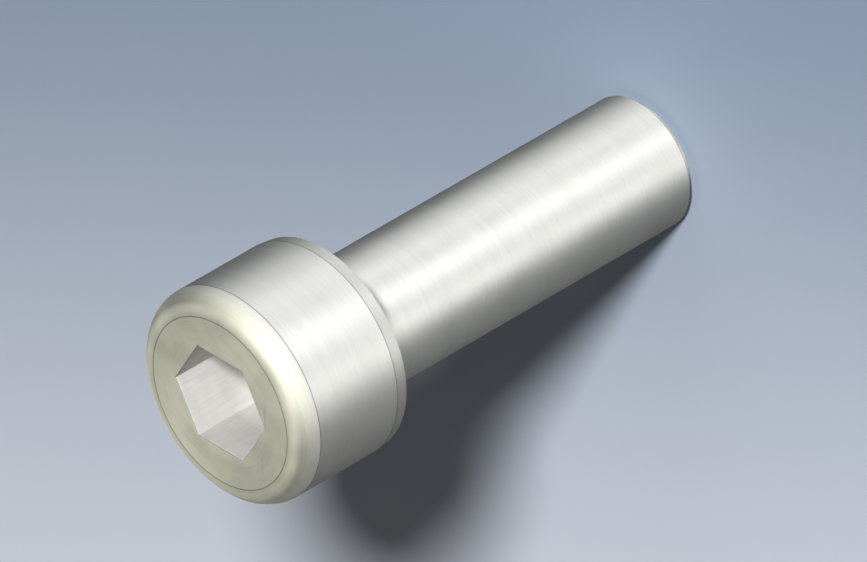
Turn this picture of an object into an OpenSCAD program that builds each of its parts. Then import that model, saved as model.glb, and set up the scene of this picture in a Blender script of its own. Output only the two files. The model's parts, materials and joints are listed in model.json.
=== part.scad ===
// Hexagon socket head cap screw with a plain shank.
// The origin is the centre of the bearing face under the head. +Z runs up through the head
// to the socket's mouth, and the shank hangs below along -Z. All sizes are in millimetres.

/* [Shank] */
// Diameter of the shank
shank_d = 8; // [5:0.1:11]
// Length from the bearing face to the shank's end
shank_length = 25; // [10:0.5:100]
// Height of the 45 degree chamfer round the shank's end
end_chamfer = 0.5; // [0.1:0.1:1.5]
// Radius of the fillet between the shank and the bearing face
neck_fillet_r = 0.4; // [0.1:0.1:1.2]

/* [Head] */
// Largest diameter of the head
head_d = 13; // [11:0.1:20]
// Height of the head above the bearing face
head_height = 8; // [6:0.1:16]
// Radius of the rounded edge round the top face
crown_r = 1.3; // [0.2:0.1:2.6]
// Height of the tapered rim above the bearing face
rim_height = 0.8; // [0.2:0.1:4]
// How far the rim draws in from the head's side to the bearing face
rim_inset = 0.1; // [0.05:0.05:1]

/* [Socket] */
// Width of the hexagon across its flats
socket_width = 6; // [3:0.1:8]
// Depth of the hexagon's flats below the top face
socket_depth = 4.4; // [2:0.1:7]
// Depth of the shallow cone in the socket's floor
floor_cone_depth = 0.3; // [0.1:0.1:1]

/* [Hidden] */

shank_r = shank_d / 2;
end_flat_r = shank_r - end_chamfer;

head_r = head_d / 2;
seat_r = head_r - rim_inset;
top_face_r = head_r - crown_r;
crown_start_z = head_height - crown_r;

hexagon_sides = 6;
socket_inner_r = socket_width / 2;
socket_corner_r = socket_inner_r / cos(180 / hexagon_sides);
socket_floor_z = head_height - socket_depth;
// How far the socket's cutter stands out of the mouth
cutter_overrun = 1;

steel = [0.80, 0.80, 0.75];
$fn = 180;

// Half outline of the shank, from its chamfered end up to the bearing face
module shank_outline() {
    polygon([
        [0, -shank_length],
        [end_flat_r, -shank_length],
        [shank_r, end_chamfer - shank_length],
        [shank_r, 0],
        [0, 0]
    ]);
}

// Half outline of the head: bearing face, tapered rim, straight side and round crown
module head_outline() {
    polygon([
        [0, 0],
        [seat_r, 0],
        [head_r, rim_height],
        [head_r, crown_start_z],
        [top_face_r, head_height],
        [0, head_height]
    ]);
    translate([top_face_r, crown_start_z])
        circle(r = crown_r);
}

// Concave fillet that fills the corner between a wall at x = 0 and a ceiling at y = 0
module corner_fillet(r) {
    difference() {
        translate([0, -r])
            square(r);
        translate([r, -r])
            circle(r = r);
    }
}

// The turned body, solid before the socket is cut
module blank() {
    rotate_extrude() {
        shank_outline();
        head_outline();
        translate([shank_r, 0])
            corner_fillet(neck_fillet_r);
    }
}

// Cutter for the hexagon socket, with two of its corners on the X axis
module socket_cutter() {
    translate([0, 0, socket_floor_z])
        cylinder(h = socket_depth + cutter_overrun, r = socket_corner_r, $fn = hexagon_sides);
    translate([0, 0, socket_floor_z - floor_cone_depth])
        cylinder(h = floor_cone_depth, r1 = 0, r2 = socket_inner_r);
}

module cap_screw() {
    color(steel)
        difference() {
            blank();
            socket_cutter();
        }
}

cap_screw();
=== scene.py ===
# Looks of a hexagon socket head cap screw that stands on the flat end of its shank.
# Sizes are in metres, in the CAD part's frame: the axis is Z, and the bearing face lies at z = 0.
import json
import math

import bpy
from mathutils import Matrix, Vector


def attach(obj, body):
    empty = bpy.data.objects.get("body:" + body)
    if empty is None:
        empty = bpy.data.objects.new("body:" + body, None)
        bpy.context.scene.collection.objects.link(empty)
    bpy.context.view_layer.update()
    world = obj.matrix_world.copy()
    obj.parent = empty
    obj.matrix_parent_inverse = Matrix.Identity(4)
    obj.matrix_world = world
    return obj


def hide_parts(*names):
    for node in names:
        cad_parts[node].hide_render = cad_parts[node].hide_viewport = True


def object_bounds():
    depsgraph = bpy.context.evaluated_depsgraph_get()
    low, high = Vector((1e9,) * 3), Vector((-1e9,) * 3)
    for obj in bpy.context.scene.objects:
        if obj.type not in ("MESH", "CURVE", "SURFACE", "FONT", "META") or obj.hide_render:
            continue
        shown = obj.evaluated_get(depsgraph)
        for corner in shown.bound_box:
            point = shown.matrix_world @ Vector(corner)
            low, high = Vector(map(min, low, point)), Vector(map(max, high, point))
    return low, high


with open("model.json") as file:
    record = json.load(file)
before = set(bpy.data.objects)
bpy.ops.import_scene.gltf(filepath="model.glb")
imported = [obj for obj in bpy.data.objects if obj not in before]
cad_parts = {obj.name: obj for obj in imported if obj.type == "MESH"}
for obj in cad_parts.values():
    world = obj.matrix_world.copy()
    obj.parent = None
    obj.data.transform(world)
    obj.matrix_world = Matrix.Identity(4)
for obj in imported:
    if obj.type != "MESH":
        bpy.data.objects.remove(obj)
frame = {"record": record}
cad_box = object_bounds()

MM = 0.001

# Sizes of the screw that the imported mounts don't give
RIM_INSET = 0.1 * MM
SOCKET_WIDTH = 6.0 * MM
SOCKET_DEPTH = 4.4 * MM
FLOOR_CONE_DEPTH = 0.3 * MM
# Radius of the tiny rounds where the real part's edges have been broken
EDGE_BREAK = 0.05 * MM
# Gap that keeps the floor cone's circle off the middle of the hexagon's sides
FLOOR_CONE_GAP = 0.02 * MM

HEXAGON_SIDES = 6
STEPS_ROUND = 240
# Largest turn of a round from one ring of vertices to the next
ROUND_STEP = math.radians(7.5)
# Largest distance between rings of vertices on a straight run from one round section to another
RUN_STEP = 2.0 * MM
# Stations of one section that lie nearer to each other than this share a ring of vertices
SAME_PLACE = 1e-9

# Camera: the view of an isometric drawing, with the Y axis upright in the picture
CAMERA_BACK = Vector((1, 1, 1)).normalized()
CAMERA_UP = Vector((-1, 2, -1)).normalized()
CAMERA_AIM = Vector((0.005, -0.045, -8.46)) * MM
CAMERA_REACH = 10
VIEW_WIDTH = 47.62 * MM
# The lens and the sensor are in plain millimetres, as Blender takes them
LENS = 1000
SENSOR = 36

# Softboxes: name, azimuth, elevation, distance, width, height, power in watts and colour
# Azimuth 0 stands in front along -Y and 90 along +X
SOFTBOXES = [
    ("key", 148, 38, 1.50, 0.25, 0.25, 28.5, (0.99, 0.98, 1.05)),
    ("left", 187, 1.0, 1.20, 0.62, 0.06, 8.5, (0.99, 0.985, 1.04)),
    ("far_left", 215, 1.0, 1.20, 0.80, 0.06, 4.8, (0.99, 0.985, 1.04)),
    ("right", 104, 1.0, 1.20, 0.66, 0.06, 11.6, (0.99, 0.985, 1.04)),
    ("back", 315, 1.2, 1.20, 0.22, 0.06, 4.2, (0.99, 0.985, 1.04)),
]
# The studio round the screw: its colour to the camera and in reflections, and the share that gives light
WORLD_COLOUR = (0.175, 0.18, 0.192)
WORLD_LIGHT = 0.1

# The floor is a matt square, painted paler on the side that shows low in the picture and darker away from
# it: a painted fall-off of light
FLOOR_HALF_WIDTH = 0.6
FLOOR_DARK = (0.262, 0.34, 0.428)
FLOOR_PALE = (0.775, 0.815, 0.835)
FLOOR_FADE = Vector((2, -5, 0)).normalized()
FLOOR_FADE_START = -16.6 * MM
FLOOR_FADE_END = 45.4 * MM
FLOOR_ROUGHNESS = 0.9
FLOOR_GLOSS = 0.1

STEEL_COLOUR = (0.56, 0.557, 0.50)
# Painted light: the steel is painted paler and warmer the more it faces up, and palest in the formed
# socket, where the paler colour lifts the shade of the recess
UPWARD_PAINTED_LIGHT_COLOUR = (0.785, 0.783, 0.625)
SOCKET_PAINTED_LIGHT_COLOUR = (0.84, 0.838, 0.785)
# Reflection at grazing angles, as a share of what an ideal metal gives there
EDGE_REFLECTION = 0.05
# Tones that tool marks, mottle and waves give the colour where they are lowest and highest
MARKS_TONE = (0.92, 1.08)
MOTTLE_TONE = (0.97, 1.03)
WAVES_TONE = (0.985, 1.015)
# Roughness at the ends of the mottle, and what full speckle and a full scratch add to it
ROUGHNESS = (0.62, 0.69)
SPECKLE_ROUGHNESS = 0.06
SCRATCH_ROUGHNESS = -0.10
# How far reflections are drawn out: up and down on upright walls, to and from the axis on level surfaces
WALL_SPREAD = 0.80
LEVEL_SPREAD = 0.1
# Leans between which the one spread gives way to the other, where nought is upright and one is level
SPREAD_LEANS = (0.75, 0.98)
# Turn of the spread from round the axis to square to it, as a share of a full turn
SPREAD_TURN = 0.25
# Height of the relief, and how much waves and scratches count in it beside the tool marks
RELIEF_HEIGHT = 0.0025 * MM
WAVES_RELIEF = 2.0
SCRATCH_RELIEF = -0.4
# Values of a noise between which it changes the tone and the roughness
TONE_NOISE = (0.3, 0.7)
ROUGHNESS_NOISE = (0.25, 0.75)
# Sets of scratches: turn of the pattern, its scale, and the noise at which a scratch starts and is full
SCRATCHES = [
    ((0.4, 0.9, 0.5), 5.0, 0.70, 0.74),
    ((1.3, 0.2, 2.1), 6.0, 0.71, 0.75),
]

# Areas that differ from plain turned steel: the share of the colour that they keep, the roughness
# that they add, and the share of the spread that they keep
# The lower tones on the rim, the shank's end and the mouth's broken edge are painted shade: the tapered rim
# and end chamfer are painted darker, and the broken edge is painted darker to dim the highlight its round
# catches
AREA_TONE_AND_PAINTED_SHADE = {"rim": 0.84, "end": 0.72, "tool_lines": 0.52, "broken_edge": 0.72}
AREA_ROUGHNESS = {"crown": 0.06, "face": 0.12, "socket": 0.17}
AREA_SPREAD = {"crown": 0.75, "socket": 0.68}
# Plain millimetres from an area's limit, or from the middle of a tool line, to where its effect ends
AREA_BLUR = 0.02
MOUTH_BLUR = 0.004
LINE_BLUR = 0.06


def read_mount(name):
    """A mount's height on the axis, radius and length, in metres."""
    mount = next(m for m in frame["record"]["mounts"] if m["name"] == name)
    return mount["pos_m"][2], mount["dims"]["r_mm"] * MM, mount["dims"]["length_mm"] * MM


shank_mid, shank_r, shank_wall = read_mount("shank")
side_mid, head_r, side_wall = read_mount("head_side")
end_z, top_z = cad_box[0].z, cad_box[1].z
chamfer_z = shank_mid - shank_wall / 2
rim_z = side_mid - side_wall / 2
crown_z = side_mid + side_wall / 2
crown_r = top_z - crown_z
face_r = head_r - crown_r
seat_r = head_r - RIM_INSET


def screw_outline():
    """Corners of the half outline, from the shank's end round to the socket's tip.

    Each corner has its radius on the screw, its height, the radius of its round and whether
    the screw's section is a hexagon there. A hexagon's radius is measured to its sides.
    """
    end_chamfer = chamfer_z - end_z
    neck_fillet = -(shank_mid + shank_wall / 2)
    socket_r = SOCKET_WIDTH / 2
    floor_z = top_z - SOCKET_DEPTH
    return [
        (0, end_z, 0, False),
        (shank_r - end_chamfer, end_z, EDGE_BREAK, False),
        (shank_r, chamfer_z, EDGE_BREAK, False),
        (shank_r, 0, neck_fillet, False),
        (seat_r, 0, EDGE_BREAK, False),
        (head_r, rim_z, EDGE_BREAK, False),
        (head_r, top_z, crown_r, False),
        (socket_r, top_z, EDGE_BREAK, True),
        (socket_r, floor_z, 0, True),
        (socket_r - FLOOR_CONE_GAP, floor_z, 0, False),
        (0, floor_z - FLOOR_CONE_DEPTH, 0, False),
    ]


def corner_stations(before, corner, after):
    """Stations of the round at one corner: place, surface normal and whether it is a hexagon."""
    point = Vector(corner[:2])
    arrive = (point - Vector(before[:2])).normalized()
    leave = (Vector(after[:2]) - point).normalized()
    normal = Vector((arrive.y, -arrive.x))
    turn = math.atan2(arrive.x * leave.y - arrive.y * leave.x, arrive.dot(leave))
    radius = math.copysign(corner[2], turn)
    centre = point - arrive * abs(radius * math.tan(turn / 2)) - normal * radius
    steps = math.ceil(abs(turn) / ROUND_STEP) if radius else 1
    stations = []
    for i in range(steps + 1):
        facing = Matrix.Rotation(turn * i / steps, 2) @ normal
        stations.append((centre + facing * radius, facing, corner[3]))
    return stations


def outline_stations(corners):
    """Every station along the outline, with more of them on long runs from one round section to another."""
    start, end = Vector(corners[0][:2]), Vector(corners[-1][:2])
    stations = [(start, Vector((0, -1)), False)]
    for before, corner, after in zip(corners, corners[1:], corners[2:]):
        turned = corner_stations(before, corner, after)
        last = stations[-1]
        if not turned[0][2] and not last[2]:
            run = turned[0][0] - last[0]
            steps = math.ceil(run.length / RUN_STEP)
            for i in range(1, steps):
                stations.append((last[0] + run * i / steps, last[1], False))
        stations += turned
    stations.append((end, stations[-1][1], False))
    return stations


def ring_points(place, hexagon):
    """The ring of vertices that a station draws round the axis."""
    if place.x == 0:
        return [(0, 0, place.y)]
    side_angle = math.tau / HEXAGON_SIDES
    points = []
    for step in range(STEPS_ROUND):
        angle = math.tau * step / STEPS_ROUND
        reach = place.x
        if hexagon:
            reach /= math.cos(angle % side_angle - side_angle / 2)
        points.append((reach * math.cos(angle), reach * math.sin(angle), place.y))
    return points


def section_direction(angle, sector, hexagon):
    """Horizontal direction that the section faces at an angle: radial, or square to the hexagon's side."""
    if hexagon:
        angle = (sector + 0.5) * math.tau / HEXAGON_SIDES
    return Vector((math.cos(angle), math.sin(angle), 0))


def ring_face(step, lower, upper):
    """One face between two rings: its vertices, and the surface normal at each of them.

    A ring is given as its vertices, the way its surface faces and whether it is a hexagon.
    """
    sector = step * HEXAGON_SIDES // STEPS_ROUND
    face, normals = [], []
    for (ring, facing, hexagon), offset in ((lower, 0), (lower, 1), (upper, 1), (upper, 0)):
        if len(ring) == 1 and offset:
            continue
        face.append(ring[(step + offset) % len(ring)])
        across = section_direction(math.tau * (step + offset) / STEPS_ROUND, sector, hexagon)
        normals.append(across * facing.x + Vector((0, 0, facing.y)))
    return face, normals


def screw_mesh():
    """The whole screw as one closed mesh, with exact surface normals."""
    stations = outline_stations(screw_outline())
    place, facing, hexagon = stations[0]
    vertices = ring_points(place, hexagon)
    ring = range(len(vertices))
    faces, normals = [], []
    for next_place, next_facing, next_hexagon in stations[1:]:
        if (next_place - place).length > SAME_PLACE or next_hexagon != hexagon:
            points = ring_points(next_place, next_hexagon)
            next_ring = range(len(vertices), len(vertices) + len(points))
            vertices += points
            lower, upper = (ring, facing, hexagon), (next_ring, next_facing, next_hexagon)
            for step in range(STEPS_ROUND):
                face, face_normals = ring_face(step, lower, upper)
                faces.append(face)
                normals += face_normals
            ring = next_ring
        place, facing, hexagon = next_place, next_facing, next_hexagon
    mesh = bpy.data.meshes.new("screw")
    mesh.from_pydata(vertices, [], faces)
    mesh.polygons.foreach_set("use_smooth", [True] * len(faces))
    mesh.normals_split_custom_set(normals)
    return mesh


def make_screw():
    mesh = screw_mesh()
    mesh.materials.append(steel_material())
    screw = bpy.data.objects.new("screw", mesh)
    bpy.context.scene.collection.objects.link(screw)
    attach(screw, "root")
    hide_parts("cap_screw")


def make_camera():
    """A long lens on the photograph's line of sight, aimed at the middle of the part."""
    data = bpy.data.cameras.new("camera")
    data.lens = LENS
    data.sensor_width = SENSOR
    data.clip_end = CAMERA_REACH
    camera = bpy.data.objects.new("camera", data)
    bpy.context.scene.collection.objects.link(camera)
    right = CAMERA_UP.cross(CAMERA_BACK)
    turn = Matrix((right, CAMERA_UP, CAMERA_BACK)).transposed()
    place = CAMERA_AIM + CAMERA_BACK * VIEW_WIDTH * LENS / SENSOR
    camera.matrix_world = Matrix.Translation(place) @ turn.to_4x4()
    bpy.context.scene.camera = camera


def make_softbox(name, azimuth, elevation, distance, width, height, power, colour):
    """A lamp aimed at the middle of the part, out of sight of every camera."""
    a, e = math.radians(azimuth), math.radians(elevation)
    toward = Vector((math.sin(a) * math.cos(e), -math.cos(a) * math.cos(e), math.sin(e)))
    light = bpy.data.lights.new(name, "AREA")
    light.shape = "ELLIPSE"
    light.size = width
    light.size_y = height
    light.energy = power
    light.color = colour
    lamp = bpy.data.objects.new(name, light)
    bpy.context.scene.collection.objects.link(lamp)
    lamp.visible_camera = False
    lamp.location = (cad_box[0] + cad_box[1]) / 2 + toward * distance
    lamp.rotation_mode = "QUATERNION"
    lamp.rotation_quaternion = toward.to_track_quat("Z", "Y")


def make_world():
    """A plain grey studio that shows in full to the camera and in reflections, and gives little light."""
    world = bpy.data.worlds.new("studio")
    bpy.context.scene.world = world
    world.use_nodes = True
    tree = world.node_tree
    rays = add_node(tree, "LightPath").outputs
    seen = join(tree, "MAXIMUM", rays["Is Camera Ray"], rays["Is Glossy Ray"], rays["Is Transmission Ray"])
    background = tree.nodes["Background"].inputs
    background["Color"].default_value = (*WORLD_COLOUR, 1)
    tree.links.new(blend(tree, seen, WORLD_LIGHT, 1.0), background["Strength"])


def make_floor():
    mesh = bpy.data.meshes.new("floor")
    r = FLOOR_HALF_WIDTH
    mesh.from_pydata([(-r, -r, end_z), (r, -r, end_z), (r, r, end_z), (-r, r, end_z)], [], [(0, 1, 2, 3)])
    mesh.materials.append(floor_material())
    floor = bpy.data.objects.new("floor", mesh)
    bpy.context.scene.collection.objects.link(floor)


def floor_material():
    """Matt floor that fades from blue grey to pale grey, a painted fall-off of light."""
    material = bpy.data.materials.new("floor")
    material.use_nodes = True
    tree = material.node_tree
    shader = tree.nodes["Principled BSDF"].inputs
    along = {0: add_node(tree, "TexCoord").outputs["Object"], 1: FLOOR_FADE}
    along = add_node(tree, "VectorMath", along, operation="DOT_PRODUCT").outputs["Value"]
    fade = ramp(tree, along, FLOOR_FADE_START, FLOOR_FADE_END)
    tree.links.new(blend_colour(tree, fade, (*FLOOR_DARK, 1), FLOOR_PALE), shader["Base Color"])
    shader["Roughness"].default_value = FLOOR_ROUGHNESS
    shader["Specular IOR Level"].default_value = FLOOR_GLOSS
    return material


def add_node(tree, kind, inputs=None, **options):
    """Add a shader node, set its options, and link or set its inputs."""
    node = tree.nodes.new("ShaderNode" + kind)
    for name, value in options.items():
        setattr(node, name, value)
    for key, value in (inputs or {}).items():
        if isinstance(value, bpy.types.NodeSocket):
            tree.links.new(value, node.inputs[key])
        else:
            node.inputs[key].default_value = value
    return node


def calculate(tree, operation, *values):
    return add_node(tree, "Math", dict(enumerate(values)), operation=operation).outputs[0]


def join(tree, operation, first, *others):
    """The first value joined to each of the others in turn by one operation."""
    for other in others:
        first = calculate(tree, operation, first, other)
    return first


def ramp(tree, value, start, end, low=0.0, high=1.0):
    """Smooth change from low to high while the value goes from start to end."""
    inputs = {"Value": value, "From Min": start, "From Max": end, "To Min": low, "To Max": high}
    return add_node(tree, "MapRange", inputs, interpolation_type="SMOOTHSTEP").outputs["Result"]


def blend(tree, factor, first, second):
    inputs = {"Factor": factor, "A": first, "B": second}
    return add_node(tree, "Mix", inputs).outputs[0]


def blend_colour(tree, factor, first, second):
    """Blend from a first colour, which may be a node's, to a second one in three plain numbers."""
    inputs = {0: factor, 6: first, 7: (*second, 1)}
    return add_node(tree, "Mix", inputs, data_type="RGBA").outputs[2]


def noise(tree, vector, scale, detail=2.0, w=None):
    """Noise from 0 to 1, in four dimensions where w is given."""
    inputs = {"Vector": vector, "Scale": scale, "Detail": detail}
    if w is None:
        return add_node(tree, "TexNoise", inputs).outputs[0]
    inputs["W"] = w
    return add_node(tree, "TexNoise", inputs, noise_dimensions="4D").outputs[0]


def stretched_noise(tree, place, turn, stretch, scale):
    """Noise drawn out along one axis of a turned copy of the coordinates."""
    vector = add_node(tree, "Mapping", {"Vector": place, "Rotation": turn, "Scale": stretch}).outputs[0]
    return noise(tree, vector, scale)


def ring_noise(tree, surface, scale, drift, detail=2.0):
    """Noise in rings round the axis, as a lathe tool leaves it. Drift changes it slowly along each ring."""
    turn = add_node(tree, "SeparateXYZ", {0: surface.outward})
    sideways = calculate(tree, "MULTIPLY", turn.outputs["X"], drift)
    depth = calculate(tree, "MULTIPLY", turn.outputs["Y"], drift)
    vector = {"X": surface.radius, "Y": surface.height, "Z": sideways}
    vector = add_node(tree, "CombineXYZ", vector).outputs[0]
    return noise(tree, vector, scale, detail, w=depth)


class Surface:
    """Where a point of the screw lies, in plain millimetres, how it leans and which areas it is on.

    The value of an area, and of the places inner, outer and near_top, is one there and nought elsewhere.
    """

    def __init__(self, tree):
        self.tree = tree
        coordinates = add_node(tree, "TexCoord").outputs
        place = {0: coordinates["Object"], "Scale": 1 / MM}
        self.place = add_node(tree, "VectorMath", place, operation="SCALE").outputs["Vector"]
        level = {0: self.place, 1: (1, 1, 0)}
        level = add_node(tree, "VectorMath", level, operation="MULTIPLY").outputs["Vector"]
        self.radius = add_node(tree, "VectorMath", {0: level}, operation="LENGTH").outputs["Value"]
        self.outward = add_node(tree, "VectorMath", {0: level}, operation="NORMALIZE").outputs["Vector"]
        self.height = add_node(tree, "SeparateXYZ", {0: self.place}).outputs["Z"]
        rise = add_node(tree, "SeparateXYZ", {0: coordinates["Normal"]}).outputs["Z"]
        self.lean = calculate(tree, "ABSOLUTE", rise)
        self.upward = calculate(tree, "MAXIMUM", rise, 0.0)
        # The socket and the shank lie inside this radius, and the head's crown, side and rim outside it
        middle_r = (shank_r + face_r) / 2 / MM
        self.inner = self.under(self.radius, middle_r)
        self.outer = self.over(self.radius, middle_r)
        self.near_top = self.over(self.height, (top_z - EDGE_BREAK / 2) / MM, MOUTH_BLUR)
        self.areas = {"end": self.under(self.height, chamfer_z / MM), "tool_lines": self.tool_lines()}
        self.areas.update(self.head_areas())
        self.areas.update(self.socket_areas())

    def over(self, value, limit, blur=AREA_BLUR):
        return ramp(self.tree, value, limit - blur, limit + blur)

    def under(self, value, limit, blur=AREA_BLUR):
        return ramp(self.tree, value, limit + blur, limit - blur)

    def line(self, value, middle):
        """One on the narrow line where the value is at the middle, and nought beside it."""
        off = calculate(self.tree, "ABSOLUTE", calculate(self.tree, "SUBTRACT", value, middle))
        return ramp(self.tree, off, LINE_BLUR, 0)

    def all_of(self, *values):
        return join(self.tree, "MULTIPLY", *values)

    def head_areas(self):
        face = self.all_of(self.near_top, self.under(self.radius, face_r / MM))
        off_face = calculate(self.tree, "SUBTRACT", 1.0, face)
        past_seat = self.over(self.radius, (seat_r - EDGE_BREAK) / MM - AREA_BLUR)
        return {
            "face": face,
            "crown": self.all_of(self.outer, self.over(self.height, crown_z / MM), off_face),
            "rim": self.all_of(past_seat, self.under(self.height, rim_z / MM)),
        }

    def socket_areas(self):
        """The socket's walls and floor, and the broken edge round its mouth."""
        wall_top = (top_z - EDGE_BREAK) / MM
        in_head = self.over(self.height, rim_z / MM)
        under_face = self.under(self.height, top_z / MM - 2 * MOUTH_BLUR, MOUTH_BLUR)
        over_wall = self.over(self.height, wall_top - MOUTH_BLUR, MOUTH_BLUR)
        return {
            "socket": self.all_of(self.inner, in_head, self.under(self.height, wall_top)),
            "broken_edge": self.all_of(self.inner, under_face, over_wall),
        }

    def tool_lines(self):
        """Fine lines that the tool leaves where one turned surface meets the next."""
        return join(
            self.tree,
            "MAXIMUM",
            self.all_of(self.near_top, self.line(self.radius, face_r / MM)),
            self.all_of(self.outer, self.line(self.height, crown_z / MM)),
            self.all_of(self.outer, self.line(self.height, rim_z / MM)),
            self.line(self.height, chamfer_z / MM),
        )

    def keep_shares(self, value, shares):
        """The value, of which each named area keeps only its share."""
        for area, share in shares.items():
            kept = ramp(self.tree, self.areas[area], 0, 1, 1, share)
            value = calculate(self.tree, "MULTIPLY", value, kept)
        return value


def tool_marks(tree, surface):
    """Fine rings where the steel was turned, and fine upright lines in the formed socket."""
    rings = ring_noise(tree, surface, scale=8.0, drift=0.12, detail=3.0)
    drawn = stretched_noise(tree, surface.place, turn=(0, 0, 0), stretch=(1, 1, 0.06), scale=7.0)
    return blend(tree, surface.areas["socket"], rings, drawn)


def handling_scratches(tree, surface):
    """Sets of short fine scratches that cross each other."""
    patterns = []
    for turn, scale, start, full in SCRATCHES:
        pattern = stretched_noise(tree, surface.place, turn, stretch=(1, 0.05, 1), scale=scale)
        patterns.append(ramp(tree, pattern, start, full))
    return join(tree, "MAXIMUM", *patterns)


def steel_colour(tree, surface, marks, waves, mottle):
    lowest, highest = MARKS_TONE
    tone = join(
        tree,
        "MULTIPLY",
        calculate(tree, "MULTIPLY_ADD", marks, highest - lowest, lowest),
        ramp(tree, mottle, *TONE_NOISE, *MOTTLE_TONE),
        ramp(tree, waves, *TONE_NOISE, *WAVES_TONE),
    )
    # Painted shade: the rim, the shank's end and the broken edge of the mouth are darkened here
    tone = surface.keep_shares(tone, AREA_TONE_AND_PAINTED_SHADE)
    # Painted light: steel that faces up is painted paler and warmer
    colour = blend_colour(tree, surface.upward, (*STEEL_COLOUR, 1), UPWARD_PAINTED_LIGHT_COLOUR)
    # Painted light: the socket's walls are painted paler, which lifts the shade inside the recess
    colour = blend_colour(tree, surface.areas["socket"], colour, SOCKET_PAINTED_LIGHT_COLOUR)
    return add_node(tree, "VectorMath", {0: colour, "Scale": tone}, operation="SCALE").outputs["Vector"]


def steel_roughness(tree, surface, mottle, scratches):
    speckle = noise(tree, surface.place, scale=5.0, detail=3.0)
    rough = ramp(tree, mottle, *ROUGHNESS_NOISE, *ROUGHNESS)
    rough = calculate(tree, "MULTIPLY_ADD", speckle, SPECKLE_ROUGHNESS, rough)
    for area, added in AREA_ROUGHNESS.items():
        rough = calculate(tree, "MULTIPLY_ADD", surface.areas[area], added, rough)
    return calculate(tree, "MULTIPLY_ADD", scratches, SCRATCH_ROUGHNESS, rough)


def steel_relief(tree, marks, waves, scratches):
    relief = calculate(tree, "MULTIPLY_ADD", waves, WAVES_RELIEF, marks)
    relief = calculate(tree, "MULTIPLY_ADD", scratches, SCRATCH_RELIEF, relief)
    return add_node(tree, "Bump", {"Height": relief, "Distance": RELIEF_HEIGHT, "Strength": 1.0}).outputs[0]


def steel_material():
    """Pale satin steel with tool marks, a faint mottle and light wear from handling, with painted light
    that makes it paler where it faces up and in the socket, and painted shade on the rim, the shank's end
    and the mouth's broken edge.
    """
    material = bpy.data.materials.new("satin_steel")
    material.use_nodes = True
    tree = material.node_tree
    surface = Surface(tree)
    marks = tool_marks(tree, surface)
    waves = ring_noise(tree, surface, scale=1.6, drift=0.25)
    mottle = noise(tree, surface.place, scale=0.45, detail=3.0)
    scratches = handling_scratches(tree, surface)
    spread = ramp(tree, surface.lean, *SPREAD_LEANS, WALL_SPREAD, LEVEL_SPREAD)
    tangent = add_node(tree, "Tangent", direction_type="RADIAL", axis="Z").outputs[0]
    shader = tree.nodes["Principled BSDF"].inputs
    tree.links.new(steel_colour(tree, surface, marks, waves, mottle), shader["Base Color"])
    tree.links.new(steel_roughness(tree, surface, mottle, scratches), shader["Roughness"])
    tree.links.new(surface.keep_shares(spread, AREA_SPREAD), shader["Anisotropic"])
    tree.links.new(tangent, shader["Tangent"])
    tree.links.new(steel_relief(tree, marks, waves, scratches), shader["Normal"])
    shader["Metallic"].default_value = 1.0
    shader["Specular Tint"].default_value = (EDGE_REFLECTION, EDGE_REFLECTION, EDGE_REFLECTION, 1)
    shader["Anisotropic Rotation"].default_value = SPREAD_TURN
    return material


make_camera()
make_world()
for softbox in SOFTBOXES:
    make_softbox(*softbox)
make_floor()
make_screw()

bpy.context.scene.view_settings.view_transform = "Standard"
bpy.context.view_layer.update()
